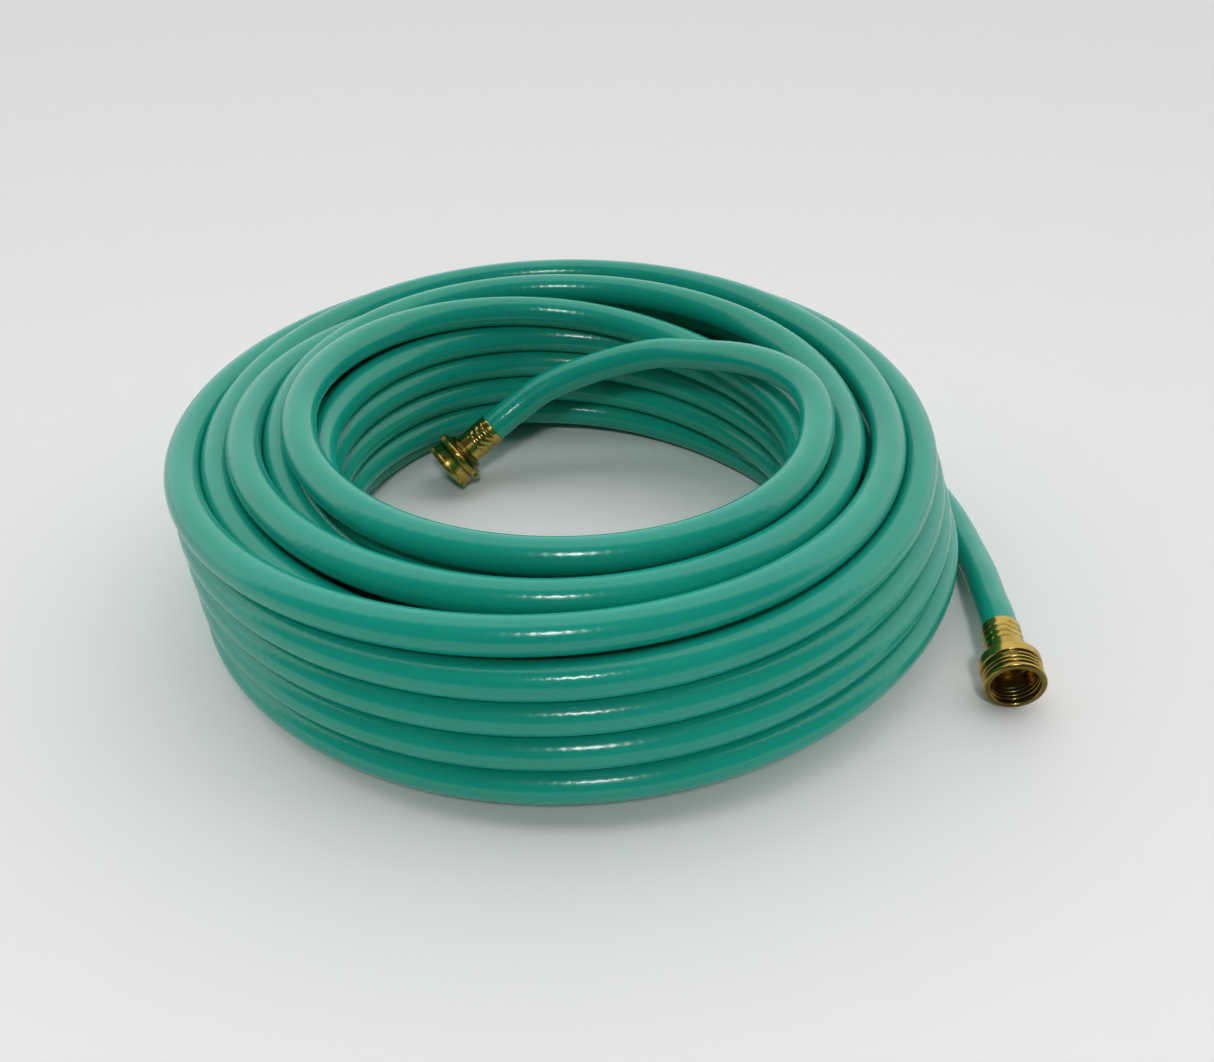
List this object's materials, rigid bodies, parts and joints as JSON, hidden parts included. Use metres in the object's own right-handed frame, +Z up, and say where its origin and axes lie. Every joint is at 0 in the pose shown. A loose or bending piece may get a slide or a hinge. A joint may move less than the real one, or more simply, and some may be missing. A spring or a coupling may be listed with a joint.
{
  "type": "garden hose",
  "caption": "Coiled braid-reinforced garden hose with a brass swivel coupling on its inner end and a brass threaded coupling on its outer end.",
  "frame": {"origin": "centre of the part's outline on the floor that the coil lies on", "axes": "+Z up, along the coil's axis; +X towards the side where the outer free end lies; -Y towards the male coupling's mouth"},
  "size_m": [0.4068, 0.3794, 0.0945],
  "materials": {
    "green_hose": "glossy flexible vinyl over a polyester braid",
    "brass": "bright turned and rolled brass",
    "black_rubber": "matt"
  },
  "bodies": {
    "hose": {"hose_coil": "green_hose", "inner_free_end": "green_hose", "outer_free_end": "green_hose", "female_ferrule": "brass", "female_tailpiece": "brass", "male_ferrule": "brass", "male_fitting": "brass"},
    "swivel": {"swivel_nut": "brass", "hose_washer": "black_rubber"}
  },
  "joints": [
    {"name": "swivel_nut_spin", "type": "hinge", "parent": "hose", "child": "swivel", "pos_m": [-0.07478, 0.06153, 0.02106], "axis": [-0.7581, -0.3619, -0.5425], "continuous": true}
  ]
}
